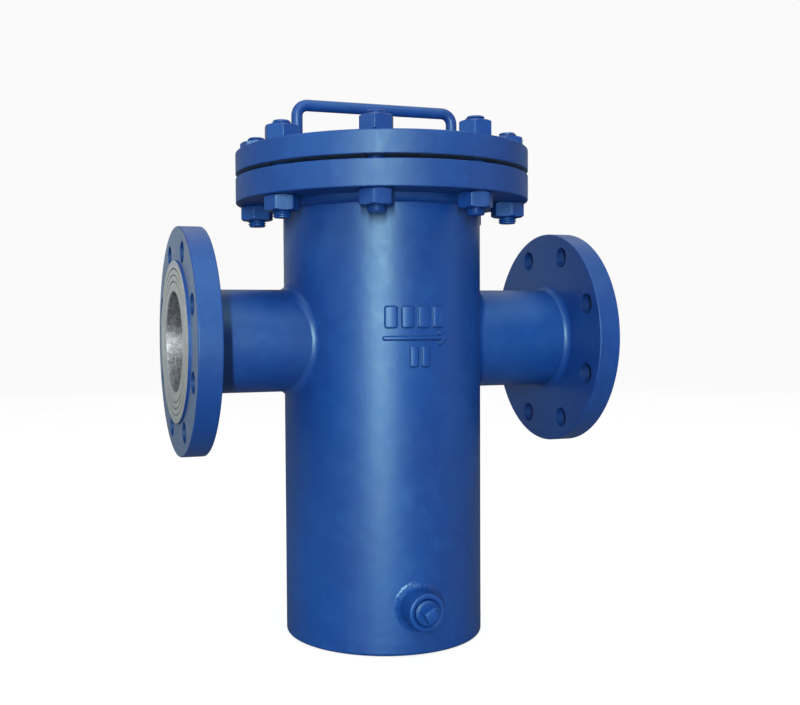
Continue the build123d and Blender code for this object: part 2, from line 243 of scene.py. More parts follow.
def machined_face(name, centre_z):
    """Turned bare steel round the X axis at a height: fine tool lines, yellow-green film and stains."""
    material, look = new_look(name)
    place = look.place()
    across = look.math("POWER", place["Y"], 2.0)
    up = look.math("POWER", look.math("SUBTRACT", place["Z"], centre_z), 2.0)
    radius = look.math("SQRT", look.math("ADD", across, up))
    rings = look.node("ShaderNodeCombineXYZ", [(0, radius)]).outputs[0]
    lines = look.noise(1500, 2, 0.7, coords=rings)
    bands = look.noise(260, 2, 0.6, coords=rings)
    film = look.noise(30, 4, 0.6)
    stains = look.noise(110, 5, 0.7)
    base = look.layered(
        (0.60, 0.61, 0.62, 1),
        (film, 0.35, 0.65, 1, (0.60, 0.61, 0.55, 1)),
        (bands, 0.45, 0.7, 0.45, (0.27, 0.30, 0.33, 1)),
        (stains, 0.58, 0.75, 0.5, (0.24, 0.23, 0.2, 1)),
    )
    look.shade(Base_Color=base, Roughness=look.spread(stains, 0.3, 0.7, 0.38, 0.6), Metallic=0.75)
    look.bump((lines, 0.35, 0.0002), (bands, 0.25, 0.0003), (stains, 0.1, 0.0004))
    return material


def mottled_bore(name):
    """Inside of the pipe stubs: rough silvery scale with bright flakes and dark pits."""
    material, look = new_look(name)
    patches = look.noise(150, 5, 0.7, 0.6)
    grain = look.noise(620, 4, 0.75)
    cells = look.node("ShaderNodeTexVoronoi", [("Vector", look.coords), ("Scale", 480.0)])
    pits = cells.outputs["Distance"]
    base = look.layered(
        (0.21, 0.21, 0.235, 1),
        (patches, 0.38, 0.64, 1, (0.40, 0.42, 0.45, 1)),
        (grain, 0.54, 0.7, 0.5, (0.72, 0.76, 0.80, 1)),
        (pits, 0.5, 0.85, 0.6, (0.13, 0.12, 0.12, 1)),
    )
    look.shade(Base_Color=base, Roughness=look.spread(grain, 0.35, 0.65, 0.5, 0.32), Metallic=0.85)
    look.bump((patches, 0.35, 0.0012), (grain, 0.45, 0.0005), (pits, 0.2, 0.0003))
    return material


def stainless(name, grain=(14, 14, 900), shade=0.56):
    """Dull rolled stainless sheet with grain lines and smears."""
    material, look = new_look(name)
    lines = look.noise(grain, 3, 0.7)
    smears = look.noise(26, 4, 0.6)
    dark = (shade * 0.62, shade * 0.61, shade * 0.58, 1)
    base = look.layered(
        (shade, shade, shade * 0.97, 1),
        (lines, 0.35, 0.7, 0.6, dark),
        (smears, 0.55, 0.75, 0.4, (0.36, 0.33, 0.28, 1)),
    )
    look.shade(Base_Color=base, Roughness=look.spread(smears, 0.3, 0.7, 0.28, 0.45), Metallic=0.95)
    look.bump((lines, 0.12, 0.0002), (smears, 0.08, 0.001))
    return material


def bare_plate(name):
    """Unpainted rolled steel inside the vessel: grey mill scale with light rust."""
    material, look = new_look(name)
    scale = look.noise(34, 5, 0.65, 0.8)
    rust = look.noise(85, 5, 0.7, 0.5)
    base = look.layered(
        (0.15, 0.15, 0.155, 1),
        (scale, 0.38, 0.64, 1, (0.32, 0.32, 0.32, 1)),
        (rust, 0.56, 0.72, 0.7, (0.2, 0.095, 0.045, 1)),
    )
    look.shade(Base_Color=base, Roughness=look.spread(rust, 0.35, 0.7, 0.45, 0.85))
    look.shade(Metallic=look.spread(rust, 0.5, 0.7, 0.7, 0.1))
    look.bump((scale, 0.25, 0.0012), (rust, 0.3, 0.0006))
    return material


def gasket_sheet(name):
    """Compressed fibre sheet: dark, matte, with short pale fibres."""
    material, look = new_look(name)
    fibres = look.noise((260, 700, 3000), 3, 0.7, 2.0)
    base = look.layered((0.035, 0.038, 0.045, 1), (fibres, 0.5, 0.72, 0.6, (0.14, 0.14, 0.14, 1)))
    look.shade(Base_Color=base, Roughness=look.spread(fibres, 0.3, 0.7, 0.75, 0.95))
    look.bump((fibres, 0.4, 0.0003))
    return material


def thread_tape(name, painted_to):
    """White sealing tape with soft ridges where its turns overlap, painted over up to about that Y."""
    material, look = new_look(name)
    laps = look.noise((40, 900, 40), 2, 0.6)
    base = look.layered((0.86, 0.86, 0.84, 1), (laps, 0.35, 0.7, 1, (0.68, 0.68, 0.66, 1)))
    ragged = look.math("MULTIPLY_ADD", laps, 1.2 * MM, painted_to)
    base = look.mix(look.math("LESS_THAN", look.place()["Y"], ragged), base, DEEP_BLUE)
    look.shade(Base_Color=base, Roughness=look.spread(laps, 0.3, 0.7, 0.5, 0.65))
    look.bump((laps, 0.5, 0.0003))
    return material


paint = blue_paint("vessel_enamel")
# Enamel under a grey film: dust, and a painted reflection of the bright surroundings on faces seen edge-on
dust_and_sheen_paint = blue_paint("dust_and_sheen_enamel", dust_and_sheen=0.6)
# Enamel darkened as painted shade, for the feet of the raised marks
foot_shade_paint = blue_paint("painted_foot_shade_enamel", painted_shade=0.85)
weld_paint = blue_paint("weld_enamel", roughness=0.34)
rim_paint = blue_paint("flange_enamel", roughness=0.47)
# Enamel darkened as painted shade, for the walls of the bolt holes
hole_shade_paint = blue_paint("painted_hole_shade_enamel", painted_shade=0.55)
turned_steel = machined_face("turned_face_steel", nozzle_z)
bore_steel = mottled_bore("bore_scale_steel")
plate_steel = bare_plate("inside_plate_steel")
sheet_steel = stainless("basket_sheet_steel")
bar_steel = stainless("basket_bar_steel", (600, 60, 60), 0.5)
wire_steel = stainless("mesh_wire_steel", (300, 300, 300), 0.45)
gasket_fibre = gasket_sheet("gasket_fibre")
tape_white = thread_tape("ptfe_tape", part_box("thread_seal_tape")[0].y + 1.2 * MM)


# ---- shapes as points and faces


def turns(count):
    """Angles that divide a full circle evenly."""
    return [TAU * i / count for i in range(count)]


def polar(radius, turn, height=0.0):
    """Point at a radius and a turn round the Z axis."""
    return Vector((radius * cos(turn), radius * sin(turn), height))


def unevenness(turn, reach, layer):
    """Smooth noise that closes on itself round a circle; a larger reach gives more waves."""
    return noise.noise(polar(reach, turn, layer))


def toward(origin, direction):
    """Placement whose Z axis points along direction, at origin."""
    direction = Vector(direction).normalized()
    side = UP if abs(direction.z) < 0.9 else Vector((1, 0, 0))
    x_axis = side.cross(direction).normalized()
    y_axis = direction.cross(x_axis)
    turn = Matrix((x_axis, y_axis, direction)).transposed().to_4x4()
    return Matrix.Translation(origin) @ turn


def swing(start, end, share):
    """Turns start towards end, both the same length, by a share of the angle between them."""
    whole = acos(max(-1, min(1, start.normalized().dot(end.normalized()))))
    if whole < 1e-6:
        return start.copy()
    return (start * sin((1 - share) * whole) + end * sin(share * whole)) / sin(whole)


def bend(before, corner, after, radius, steps):
    """Points of the arc that rounds a corner between its neighbours."""
    back = (before - corner).normalized()
    ahead = (after - corner).normalized()
    half = acos(max(-1, min(1, back.dot(ahead)))) / 2
    centre = corner + (back + ahead).normalized() * radius / sin(half)
    start = corner + back * radius / tan(half) - centre
    end = corner + ahead * radius / tan(half) - centre
    return [centre + swing(start, end, k / steps) for k in range(steps + 1)]


def rounded(corners, steps=5):
    """Closed outline from (radius, height, corner radius) points, each corner rounded by an arc."""
    spots = [Vector(corner[:2]) for corner in corners]
    points = []
    for i, (_, _, radius) in enumerate(corners):
        if radius > 0:
            points += bend(spots[i - 1], spots[i], spots[(i + 1) % len(spots)], radius, steps)
        else:
            points.append(spots[i])
    return points


def bend_path(points, radius, steps):
    """Path through points with each inner corner rounded."""
    path = [points[0]]
    for before, corner, after in zip(points, points[1:], points[2:]):
        path += bend(before, corner, after, radius, steps)
    return path + [points[-1]]


def sweep(rows, closed_path=True):
    """Vertices and faces of a tube whose cross-sections, as lists of points, follow each other in rows."""
    faces = []
    count = len(rows[0])
    ways = len(rows) if closed_path else len(rows) - 1
    for i in range(ways):
        here, beyond = i * count, (i + 1) % len(rows) * count
        for j in range(count):
            k = (j + 1) % count
            faces.append((here + j, here + k, beyond + k, beyond + j))
    if not closed_path:
        faces.append(tuple(range(count)))
        faces.append(tuple((len(rows) - 1) * count + j for j in reversed(range(count))))
    return [point for row in rows for point in row], faces


def round_rows(path, radius, sides, away):
    """Rings of points round each point of a path; away(point) is the direction in which a ring starts."""
    rows = []
    for i, point in enumerate(path):
        along = (path[min(i + 1, len(path) - 1)] - path[max(i - 1, 0)]).normalized()
        first = away(point)
        across = along.cross(first).normalized()
        rows.append([point + radius * (cos(turn) * first + sin(turn) * across) for turn in turns(sides)])
    return rows


def joined(parts):
    """The vertices and faces of several (vertices, faces) parts as one pair."""
    vertices = []
    faces = []
    for part_vertices, part_faces in parts:
        start = len(vertices)
        vertices += part_vertices
        faces += [tuple(start + i for i in face) for face in part_faces]
    return vertices, faces


# ---- pieces


def add_object(name, data):
    """A new object in the scene for a mesh, a light or a camera."""
    made = bpy.data.objects.new(name, data)
    bpy.context.scene.collection.objects.link(made)
    return made


def bare_mesh(name, vertices, faces, material):
    """A mesh object just as its points say."""
    mesh = bpy.data.meshes.new(name)
    mesh.from_pydata([tuple(v) for v in vertices], [], faces)
    mesh.materials.append(material)
    return add_object(name, mesh)


def add_mesh(name, vertices, faces, material, angle=34.0):
    """A smooth-shaded mesh object, welded, with its normals outward and its hard edges marked."""
    made = bare_mesh(name, vertices, faces, material)
    clean(made, angle)
    return made


def clean(piece, angle=34.0, close_ends=False):
    """Welds doubled points, drops faces with no area and turns the normals outward."""
    work = bmesh.new()
    work.from_mesh(piece.data)
    bmesh.ops.remove_doubles(work, verts=work.verts, dist=2e-6)
    bmesh.ops.dissolve_degenerate(work, edges=work.edges, dist=1e-6)
    if close_ends:
        bmesh.ops.holes_fill(work, edges=[edge for edge in work.edges if edge.is_boundary], sides=0)
    bmesh.ops.recalc_face_normals(work, faces=work.faces)
    work.to_mesh(piece.data)
    work.free()
    mark_edges(piece, angle)


def mark_edges(piece, angle):
    """Smooth shading that stops at edges sharper than the angle."""
    mesh = piece.data
    mesh.polygons.foreach_set("use_smooth", [True] * len(mesh.polygons))
    mesh.set_sharp_from_angle(angle=radians(angle))
    mesh.update()


def settle(piece):
    """Applies every modifier of a piece to its mesh."""
    graph = bpy.context.evaluated_depsgraph_get()
    piece.data = bpy.data.meshes.new_from_object(piece.evaluated_get(graph), depsgraph=graph)
    piece.modifiers.clear()


def weigh_normals(piece):
    """Large flat faces keep their own normal beside rounded corners."""
    weights = piece.modifiers.new("weights", "WEIGHTED_NORMAL")
    weights.keep_sharp = True
    weights.weight = 80
    settle(piece)


def cut(piece, cutters):
    """Cuts the cutters out of a piece and removes them."""
    for cutter in cutters:
        carve = piece.modifiers.new("carve", "BOOLEAN")
        carve.operation = "DIFFERENCE"
        carve.solver = "EXACT"
        carve.object = cutter
    settle(piece)
    for cutter in cutters:
        bpy.data.objects.remove(cutter)
    clean(piece)


def lathe(name, outline, material, segments=160, place=UNMOVED, angle=34.0):
    """Turns a closed outline of (radius, height) points round the placement's Z axis."""
    vertices = []
    columns = []
    for radius, height in outline:
        start = len(vertices)
        if radius < 1e-7:
            vertices.append(place @ Vector((0, 0, height)))
            columns.append([start] * segments)
        else:
            vertices += [place @ polar(radius, turn, height) for turn in turns(segments)]
            columns.append([start + i for i in range(segments)])
    faces = []
    for here, above in zip(columns, columns[1:] + columns[:1]):
        for i in range(segments):
            k = (i + 1) % segments
            corners = dict.fromkeys((here[i], here[k], above[k], above[i]))
            if len(corners) > 2:
                faces.append(tuple(corners))
    return add_mesh(name, vertices, faces, material, angle)


def ring_piece(name, steps, section, material, angle=34.0):
    """Closed ring whose cross-section at each turn is the list of points section(turn)."""
    return add_mesh(name, *sweep([section(turn) for turn in turns(steps)]), material, angle)


def drill(radius, depth, place, flare=0.15 * MM, segments=64):
    """Cutter for a hole of that depth below the placement, with a small chamfer at both faces."""
    out = 4 * MM
    past = 0.05 * MM
    wide = radius + flare + past
    outline = [(0, out), (wide, out), (wide, past), (radius, -flare), (radius, -depth + flare)]
    outline += [(wide, -depth - past), (wide, -depth - out), (0, -depth - out)]
    return lathe("drill", outline, None, segments, place)


def rod_cutter(radius, length, place=UNMOVED, segments=192):
    """Plain round cutter from the placement along its Z axis."""
    return lathe("rod_cutter", [(0, 0), (radius, 0), (radius, length), (0, length)], None, segments, place)


def bar_piece(name, corners, bend_radius, steps, radius, material, sides=28):
    """Round bar bent at its corners, in one upright plane."""
    path = bend_path(corners, bend_radius, steps)
    plane_normal = (path[0] - path[-1]).cross(UP).normalized()
    rows = round_rows(path, radius, sides, lambda point: plane_normal)
    return add_mesh(name, *sweep(rows, closed_path=False), material)


def capped(name, parts, angle=40.0):
    """One painted mesh object from several (vertices, faces) parts, with open ends closed."""
    made = bare_mesh(name, *joined(parts), paint)
    clean(made, angle)  # turns the faces outwards first, so that the closed ends follow them
    clean(made, angle, close_ends=True)
    return made


def place_piece(piece, node_name, body="vessel"):
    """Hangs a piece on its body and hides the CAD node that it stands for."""
    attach(piece, body)
    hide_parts(node_name)


def repaint(node_name, material):
    """Gives a CAD node that keeps its own shape a detailed material."""
    shown = frame["nodes"][node_name]
    shown.data.materials.clear()
    shown.data.materials.append(material)


def paint_where(piece, material, test):
    """Gives the faces whose centre and normal pass the test another material."""
    piece.data.materials.append(material)
    index = len(piece.data.materials) - 1
    for face in piece.data.polygons:
        if test(face.center, face.normal):
            face.material_index = index


def true_round(piece, point, direction, tolerance=0.9985):
    """Faces that lie round an axis get the exact normals of a cylinder about it."""
    mesh = piece.data
    axis = Vector(direction).normalized()
    point = Vector(point)
    normals = [Vector(corner.vector) for corner in mesh.corner_normals]
    for face in mesh.polygons:
        spoke = face.center - point
        spoke -= spoke.dot(axis) * axis
        if spoke.length < 1e-6:
            continue
        facing = face.normal.dot(spoke.normalized())
        if abs(facing) < tolerance or abs(face.normal.dot(axis)) > 0.02:
            continue
        for loop in face.loop_indices:
            arm = mesh.vertices[mesh.loops[loop].vertex_index].co - point
            arm -= arm.dot(axis) * axis
            normals[loop] = arm.normalized() * (1 if facing > 0 else -1)
    mesh.normals_split_custom_set(normals)
    mesh.update()


# ---- vessel

ROUND_STEPS = 192
FLANGE_STEPS = 224
PIPE_STEPS = 160


def outward(side):
    """Placement at the nozzle axis with Z pointing out of the nozzle."""
    return toward(Vector((0, 0, nozzle_z)), (side, 0, 0))


def off_nozzle_axis(point):
    """Distance of a point from the axis of the two nozzles."""
    return hypot(point.y, point.z - nozzle_z)


def make_shell():
    """Body tube with its nozzle and drain holes, painted outside and bare inside."""
    corners = [(shell_inner, shell_bottom, 0), (shell_radius, shell_bottom, 0)]
    corners += [(shell_radius, shell_top, 0.5 * MM), (shell_inner, shell_top, 0.5 * MM)]
    shell = lathe("shell_wall", rounded(corners), paint, ROUND_STEPS)
    reach = 2 * shell_radius
    pipe_start = toward(Vector((-reach, 0, nozzle_z)), (1, 0, 0))
    drain_start = toward(Vector((drain_centre.x, 0, drain_centre.z)), (0, -1, 0))
    pipe_hole = rod_cutter(pipe_radius - MM, 2 * reach, pipe_start, 128)
    cut(shell, [pipe_hole, rod_cutter(boss_radius - MM, reach, drain_start, 64)])
    limit = (shell_inner + shell_radius) / 2

    def inside(centre, normal):
        return hypot(centre.x, centre.y) < limit and abs(normal.z) < 0.5

    paint_where(shell, plate_steel, inside)
    true_round(shell, (0, 0, 0), UP)
    place_piece(shell, "shell_tube")


def make_bottom():
    """Flat end with a rounded lower corner, and the ground seam weld above it."""
    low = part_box("bottom_plate")[0].z
    corners = [(0, low, 0), (shell_radius, low, 3 * MM), (shell_radius, shell_bottom, 0)]
    corners.append((0, shell_bottom, 0))
    plate = lathe("end_plate", rounded(corners, 8), paint, ROUND_STEPS)
    paint_where(plate, plate_steel, lambda centre, normal: normal.z > 0.9)
    weigh_normals(plate)
    place_piece(plate, "bottom_plate")

    weld_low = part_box("bottom_weld")[0].z
    weld_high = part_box("bottom_weld")[1].z
    middle = (weld_low + weld_high) / 2
    half = (weld_high - weld_low) / 2
    edge = shell_radius - 0.05 * MM
    root = shell_radius - 3 * MM
    ripples = 150

    def seam(turn):
        swell = (0.08 + 0.015 * sin(turn * ripples) + 0.02 * unevenness(turn, 9, 2)) * MM
        row = []
        for k in range(9):
            share = -1 + k / 4
            row.append(polar(edge + swell * (1 - share * share), turn, middle + half * share))
        return row + [polar(root, turn, middle)]

    weld = ring_piece("end_seam_weld", 360, seam, paint, 50)
    place_piece(weld, "bottom_weld")


def bolt_turns():
    """Turns of the bolts, which straddle the centre lines of a flange."""
    return [TAU * (k + 0.5) / bolt_count for k in range(bolt_count)]


def bolt_cutters(place, circle, depth):
    """Drills for the bolt holes of a flange, from its front plane."""
    spots = [Matrix.Translation(polar(circle, turn)) for turn in bolt_turns()]
    return [drill(bolt_hole_radius, depth, place @ spot) for spot in spots]


def make_large_flange(name, corners, front, depth, gap_side, node_name, body):
    """Drilled disc, with a grey film of dust and painted sheen on the side that faces the gap, and bare
    steel on its raised face.
    """
    disc = lathe(name, rounded(corners), rim_paint, FLANGE_STEPS)
    cut(disc, bolt_cutters(Matrix.Translation((0, 0, front)), stud_circle, depth))
    weigh_normals(disc)

    def in_gap(centre, normal):
        return normal.z * gap_side > 0.9

    def on_raised_face(centre, normal):
        return in_gap(centre, normal) and hypot(centre.x, centre.y) < cover_face_radius

    # The gap side takes the grey film of dust and painted sheen
    paint_where(disc, dust_and_sheen_paint, in_gap)
    paint_where(disc, plate_steel, on_raised_face)
    place_piece(disc, node_name, body)


def make_body_flange():
    """Body flange with its raised face, the fillet weld under it and the one inside it."""
    top = face_low - raised_face
    bore = shell_radius + 0.5 * MM
    corners = [(bore, body_flange_low, 0.4 * MM), (cover_radius, body_flange_low, 1.2 * MM)]
    corners += [(cover_radius, top, 0.9 * MM), (cover_face_radius, top, 0)]
    corners += [(cover_face_radius, face_low, 0.5 * MM), (bore, face_low, 0.5 * MM)]
    depth = top - body_flange_low
    make_large_flange("body_flange_disc", corners, top, depth, 1, "body_flange", "vessel")

    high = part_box("body_flange_weld")[1]
    bead = fillet(Vector((0, 0, high.z)), UP, shell_radius, high.x - shell_radius, -1)
    place_piece(add_mesh("body_flange_bead", *bead, paint, 50), "body_flange_weld")

    low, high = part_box("body_flange_inner_weld")
    lap = low.z - 0.2 * MM
    outline = [(shell_inner + 0.6 * MM, lap), (bore, lap), (bore, high.z)]
    weld = lathe("body_flange_inner_bead", outline, plate_steel, 128, angle=60)
    place_piece(weld, "body_flange_inner_weld")


def fillet(centre, axis, radius, leg, way, steps=300, ripples=150, crown=0.16):
    """Vertices and faces of a weld between a round surface and a flat face across its axis.

    way is 1 where the bead lies on the axis's positive side of the face, and -1 on its other side.
    crown is how far it swells past a straight bevel, as a share of its leg; a hollow one is negative."""
    place = toward(centre, axis)
    sink = 0.1 * MM
    root = (radius - 0.6 * MM, -0.3 * MM)
    points = 8

    def section(turn):
        size = leg * (0.93 + 0.035 * sin(turn * ripples) + 0.05 * unevenness(turn, 7, radius * 90))
        row = []
        for k in range(points):
            share = k / (points - 1)
            bulge = crown * size * sin(pi * share)
            out = size * (1 - share) + bulge
            along = size * share + bulge
            row.append(place @ polar(radius - sink + out, turn, way * (along - sink)))
        return row + [place @ polar(root[0], turn, way * root[1])]

    return sweep([section(turn) for turn in turns(steps)])


def saddle_weld(name, small_radius, leg, offset, height, turn_about_z, steps=220, rough=0.03):
    """Hollow weld round a branch of the shell, shaped as a ball rolled along the corner would leave it.

    offset is the branch axis's distance from the shell's axis, height its height."""
    place = Matrix.Rotation(turn_about_z, 4, "Z")
    fullness = 0.2
    overrun = 0.02
    lap = 1.012
    root_share = 0.96
    ripples = 96
    points = 13

    def section(turn):
        ball = leg * (1 + rough * (0.25 * sin(turn * ripples) + unevenness(turn, 9, height * 9)))
        y = offset + (small_radius + ball) * sin(turn)
        z = (small_radius + ball) * cos(turn)
        x = sqrt((shell_radius + ball) ** 2 - y * y)
        centre = Vector((x, y, height + z))
        to_shell = Vector((-x, -y, 0)).normalized()
        to_branch = Vector((0, offset - y, -z)).normalized()
        row = []
        for k in range(points):
            share = (1 + 2 * overrun) * k / (points - 1) - overrun
            arc = swing(to_shell, to_branch, share)
            chord = to_shell.lerp(to_branch, share)
            row.append(place @ (centre + arc.lerp(chord, fullness) * ball * lap))
        root_y = offset + small_radius * sin(turn) * root_share
        root_x = sqrt((shell_radius - MM) ** 2 - root_y**2)
        root_z = height + small_radius * root_share * cos(turn)
        return row + [place @ Vector((root_x, root_y, root_z))]

    return ring_piece(name, steps, section, weld_paint, 60)


def pipe_flange_outline():
    """Section of a slip-on flange, with three sealing grooves in its raised face."""
    edge = 1.1 * MM
    floor_z = face_x - 0.8 * MM
    corners = [(flange_bore, pipe_flange_back, 0), (pipe_flange_radius, pipe_flange_back, edge)]
    corners += [(pipe_flange_radius, rim_x, edge), (pipe_face_radius, rim_x, 0.2 * MM)]
    corners.append((pipe_face_radius, face_x, 0.4 * MM))
    for radius in (62 * MM, 56.5 * MM, 51 * MM):
        corners += [(radius + 0.55 * MM, face_x, 0.1 * MM), (radius + 0.3 * MM, floor_z, 0)]
        corners += [(radius - 0.3 * MM, floor_z, 0), (radius - 0.55 * MM, face_x, 0.1 * MM)]
    return rounded(corners + [(flange_bore, face_x, 0)])


def make_pipe_flange(name, side):
    """Slip-on flange: a bare turned face whose grooves take painted shade, a front beside it under a grey
    film of dust and painted reflection, and bolt holes darkened with painted shade.
    """
    out = outward(side)
    flange = lathe(f"{name}_flange_disc", pipe_flange_outline(), paint, FLANGE_STEPS, out)
    front = out @ Matrix.Translation((0, 0, rim_x))
    cut(flange, bolt_cutters(front, pipe_bolt_circle, rim_x - pipe_flange_back))
    weigh_normals(flange)
    bare_radius = pipe_face_radius - 0.3 * MM
    bare_from = rim_x + 0.6 * MM
    groove_side = face_x - 0.1 * MM
    groove_floor = face_x - 0.6 * MM

    def on_face(centre, normal):
        return abs(centre.x) > bare_from and off_nozzle_axis(centre) < bare_radius

    def on_rim_face(centre, normal):
        return normal.x * side > 0.95 and not on_face(centre, normal)

    def in_groove(centre, normal):
        limit = groove_side if abs(normal.x) < 0.97 else groove_floor
        return on_face(centre, normal) and abs(centre.x) < limit

    def in_bolt_hole(centre, normal):
        off_circle = off_nozzle_axis(centre) - pipe_bolt_circle
        return abs(normal.x) < 0.5 and abs(off_circle) < bolt_hole_radius + 0.5 * MM

    paint_where(flange, turned_steel, on_face)
    # Groove faces take the darker bare plate steel as painted shade in the grooves
    paint_where(flange, plate_steel, in_groove)
    # The front rim face takes the grey film: dust, and a painted reflection of the bright side
    paint_where(flange, dust_and_sheen_paint, on_rim_face)
    # Bolt-hole walls take painted shade
    paint_where(flange, hole_shade_paint, in_bolt_hole)
    place_piece(flange, f"{name}_flange")


def make_nozzle(side, name):
    """Pipe stub, slip-on flange with a grooved raised face, and the welds at both ends."""
    out = outward(side)
    start = shell_inner * 0.7
    tube = [(pipe_inner, start), (pipe_radius, start), (pipe_radius, pipe_end), (pipe_inner, pipe_end)]
    pipe = lathe(f"{name}_pipe", tube, paint, PIPE_STEPS, out)
    cut(pipe, [rod_cutter(shell_inner, 2 * nozzle_z)])
    wall = (pipe_inner + pipe_radius) / 2
    paint_where(pipe, bore_steel, lambda centre, normal: off_nozzle_axis(centre) < wall)
    true_round(pipe, (0, 0, nozzle_z), (1, 0, 0))
    place_piece(pipe, f"{name}_nozzle")

    make_pipe_flange(name, side)

    ring = [(mouth_radius, pipe_end, 0), (flange_bore, pipe_end, 0)]
    ring += [(flange_bore, face_x, 0), (mouth_radius, face_x, 0.8 * MM)]
    mouth = lathe(f"{name}_mouth_weld", rounded(ring), turned_steel, PIPE_STEPS, out)
    paint_where(mouth, bore_steel, lambda centre, normal: abs(normal.x) < 0.5)
    place_piece(mouth, f"{name}_bore_weld", "vessel")

    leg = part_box(f"{name}_flange_weld")[1].y - pipe_radius
    corner = Vector((side * pipe_flange_back, 0, nozzle_z))
    bead = fillet(corner, (side, 0, 0), pipe_radius, leg, -1, 220, 92, -0.12)
    place_piece(add_mesh(f"{name}_flange_bead", *bead, paint, 50), f"{name}_flange_weld")

    saddle = saddle_weld(f"{name}_saddle_bead", pipe_radius, 7.4 * MM, 0, nozzle_z, 0 if side > 0 else pi)
    place_piece(saddle, f"{name}_saddle_weld")


def make_gasket():
    """Fibre ring between the raised faces, its outer edge slightly uneven from cutting."""
    low = face_low + 0.02 * MM
    high = face_high - 0.02 * MM

    def section(turn):
        edge = cover_face_radius - (0.3 + 0.25 * unevenness(turn, 6, 5)) * MM
        row = [(gasket_bore, low), (edge - 0.3 * MM, low), (edge, low + 0.4 * MM)]
        row += [(edge, high - 0.4 * MM), (edge - 0.3 * MM, high), (gasket_bore, high)]
        return [polar(radius, turn, z) for radius, z in row]

    ring = ring_piece("gasket_ring", 240, section, gasket_fibre)
    place_piece(ring, "cover_gasket", "vessel")


# ---- studs and nuts


def threaded_rod(place, major, depth, pitch, length, end_radius, taper=0.0, segments=36):
    """Vertices and faces of a rod with a right-handed thread, chamfered and capped at both ends.

    taper is the loss of radius along each unit of length."""
    profile = [(0.0, 1.0), (0.12, 1.0), (0.46, 0.0), (0.58, 0.0)]
    bevel = 1.1
    steps = (ceil(length / pitch) + 1) * segments
    count = len(profile)
    vertices = []
    for step in range(steps + 1):
        turn = TAU * step / segments
        for share, rise in profile:
            z = pitch * (step / segments + share - 1)
            held = min(max(z, 0.0), length)
            radius = major - depth * (1 - rise) - taper * held
            far_end = end_radius - taper * length + (length - held) * bevel
            radius = min(radius, end_radius + held * bevel, far_end)
            vertices.append(place @ polar(radius, turn, held))
    faces = []
    for step in range(steps):
        for k in range(count):
            here = step * count + k
            above = here + 1 if k + 1 < count else (step + segments) * count
            if above + count < len(vertices):
                faces.append((here, here + count, above + count, above))
    return vertices, faces


def stud_places(height, angles):
    """Placement at each stud's centre line, at a height and turned by its own angle."""
    for turn, angle in zip(bolt_turns(), angles):
        yield Matrix.Translation(polar(stud_circle, turn, height)) @ Matrix.Rotation(angle, 4, "Z")


def make_studs():
    """Eight M16 studs, threaded from end to end."""
    length = stud_high - stud_low
    places = stud_places(stud_low, [turn * 3 for turn in bolt_turns()])
    depth = 1.15 * MM
    pitch = 2 * MM
    end_radius = 6.6 * MM
    rods = [threaded_rod(place, stud_radius, depth, pitch, length, end_radius) for place in places]
    place_piece(capped("threaded_studs", rods), "stud_bolts")


def polygon_corner(sides, flat_radius, corner_radius, turn):
    """Points round one corner, at a turn, of a regular polygon with this distance to its flats."""
    centre = polar((flat_radius - corner_radius) / cos(pi / sides), turn)
    return [centre + polar(corner_radius, turn + (k / 4 - 0.5) * TAU / sides) for k in range(5)]


def nut_outline():
    """Hexagon with rounded corners, as points round the nut's own axis."""
    outline = []
    for facing in turns(6):
        outline += polygon_corner(6, nut_apothem, 0.9 * MM, facing + pi / 6)
        for k in range(1, 8):
            off_flat = (k / 8 - 0.5) * (pi / 3) * 0.9
            outline.append(polar(nut_apothem / cos(off_flat), facing + pi / 3 + off_flat))
    return outline


def nut_mesh(place):
    """One hexagon nut: rounded corners, both faces chamfered by a cone, bore countersunk."""
    land = nut_apothem * 0.965
    lead = 0.9 * MM
    slope = tan(radians(28))
    top = nut_height
    rows = []
    for point in nut_outline():
        spoke = point.normalized()
        drop = max(0.0, (point.length - land) * slope)
        row = [(nut_bore + lead, 0), (nut_bore, lead), (nut_bore, top - lead), (nut_bore + lead, top)]
        row += [(land, top), (point.length, top - drop), (point.length, drop), (land, 0)]
        rows.append([place @ (spoke * radius + UP * z) for radius, z in row])
    return sweep(rows)


def make_nuts(node_name, piece_name, body, angles):
    """Eight nuts, each stopped at its own angle."""
    places = stud_places(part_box(node_name)[0].z, [radians(angle) for angle in angles])
    nuts = capped(piece_name, [nut_mesh(place) for place in places], 24)
    place_piece(nuts, node_name, body)


# ---- cover


def make_cover():
    """Blind flange, its bent handle and the weld beads at the handle's feet."""
    underside = face_high + raised_face
    corners = [(0, face_high, 0), (cover_face_radius, face_high, 0.5 * MM)]
    corners += [(cover_face_radius, underside, 0), (cover_radius, underside, 0.9 * MM)]
    corners += [(cover_radius, cover_top, 1.2 * MM), (0, cover_top, 0)]
    depth = cover_top - underside
    make_large_flange("cover_disc", corners, cover_top, depth, -1, "cover_plate", "cover")

    radius = (handle_high.y - handle_low.y) / 2
    legs = (handle_low.x + radius, handle_high.x - radius)
    top = handle_high.z - radius
    sink = cover_top - 0.5 * MM
    heights = ((legs[0], sink), (legs[0], top), (legs[1], top), (legs[1], sink))
    bar = bar_piece("cover_handle_bar", [Vector((x, 0, z)) for x, z in heights], 9.5 * MM, 9, radius, paint)
    place_piece(bar, "cover_handle", "cover")

    beads = [fillet(Vector((leg, 0, cover_top)), UP, radius, 3.5 * MM, 1, 90, 26) for leg in legs]
    place_piece(add_mesh("handle_foot_beads", *joined(beads), paint, 50), "handle_welds", "cover")


# ---- raised marks


def evenly(ends, step):
    """Values from one end to the other, about a step apart."""
    count = int(round((ends[1] - ends[0]) / step))
    return [ends[0] + (ends[1] - ends[0]) * i / count for i in range(count + 1)]


